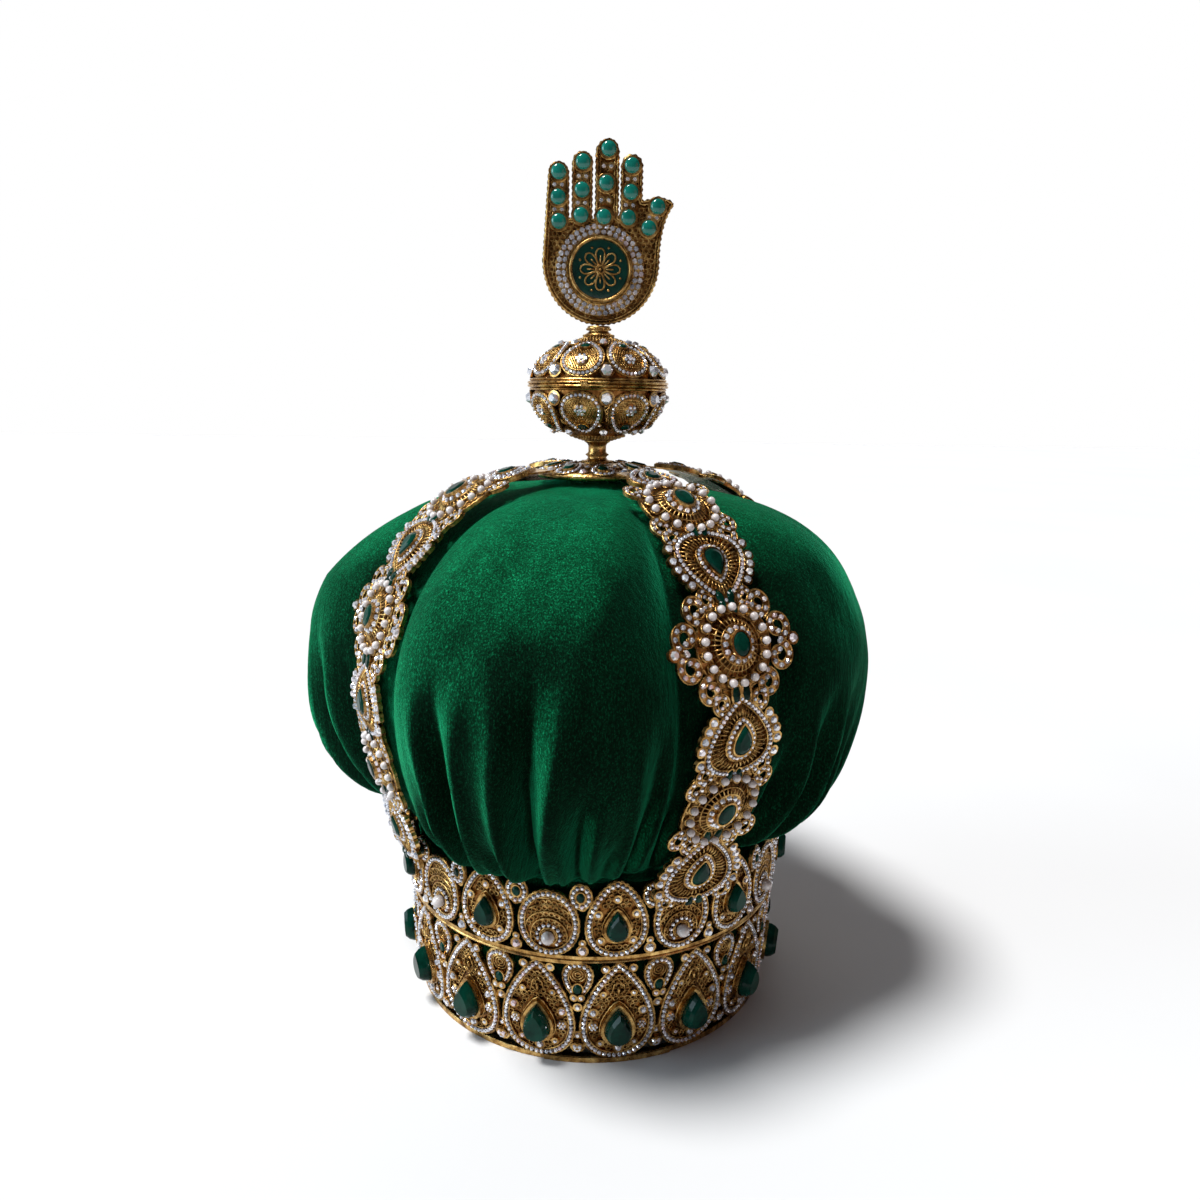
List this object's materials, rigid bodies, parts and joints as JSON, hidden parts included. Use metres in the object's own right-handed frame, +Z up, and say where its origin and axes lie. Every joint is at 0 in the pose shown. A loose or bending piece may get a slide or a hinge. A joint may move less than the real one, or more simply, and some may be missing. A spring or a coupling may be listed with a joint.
{
  "type": "ceremonial crown",
  "caption": "Ceremonial crown: a puffed velvet cap on a jewelled two-tier circlet, arches meeting under a pierced orb, and an open hand on top.",
  "frame": {"origin": "middle of the bottom rim, on the surface that the crown stands on", "axes": "+Z up along the crown's axis to the hand; the hand's palm faces -Y; +X is to the right seen from the front"},
  "size_m": [0.2728, 0.2758, 0.4118],
  "materials": {
    "velvet": "deep green cotton velvet with a short upright pile",
    "gold": "antique gilt brass filigree, bright on the edges and brown in the recesses",
    "emerald": "polished dark green cut glass",
    "turquoise": "polished blue-green cabochon",
    "enamel": "glossy dark green enamel in a gilt rim",
    "rhinestone": "foil-backed faceted clear glass",
    "pearl": "satin cream imitation pearl"
  },
  "bodies": {
    "root": {"velvet_cap": "velvet", "headband": "velvet", "lower_circlet": "gold", "upper_circlet": "gold", "arch_1": "gold", "arch_2": "gold", "arch_3": "gold", "arch_4": "gold", "crest": "gold", "stem": "gold", "orb_lower": "gold", "orb_seam": "gold", "orb_upper": "gold", "neck": "gold", "hand": "gold", "medallion": "enamel", "emerald_lower_1": "emerald", "emerald_lower_2": "emerald", "emerald_lower_3": "emerald", "emerald_lower_4": "emerald", "emerald_lower_5": "emerald", "emerald_lower_6": "emerald", "emerald_lower_7": "emerald", "emerald_lower_8": "emerald", "emerald_lower_9": "emerald", "emerald_lower_10": "emerald", "emerald_lower_11": "emerald", "emerald_lower_12": "emerald", "emerald_lower_13": "emerald", "emerald_lower_14": "emerald", "emerald_lower_15": "emerald", "emerald_lower_16": "emerald", "emerald_upper_1": "emerald", "emerald_upper_2": "emerald", "emerald_upper_3": "emerald", "emerald_upper_4": "emerald", "emerald_upper_5": "emerald", "emerald_upper_6": "emerald", "emerald_upper_7": "emerald", "emerald_upper_8": "emerald", "emerald_upper_9": "emerald", "emerald_upper_10": "emerald", "cabochon_1": "turquoise", "cabochon_2": "turquoise", "cabochon_3": "turquoise", "cabochon_4": "turquoise", "cabochon_5": "turquoise", "cabochon_6": "turquoise", "cabochon_7": "turquoise", "cabochon_8": "turquoise", "cabochon_9": "turquoise", "cabochon_10": "turquoise", "cabochon_11": "turquoise", "cabochon_12": "turquoise", "cabochon_13": "turquoise", "cabochon_14": "turquoise"}
  },
  "joints": []
}
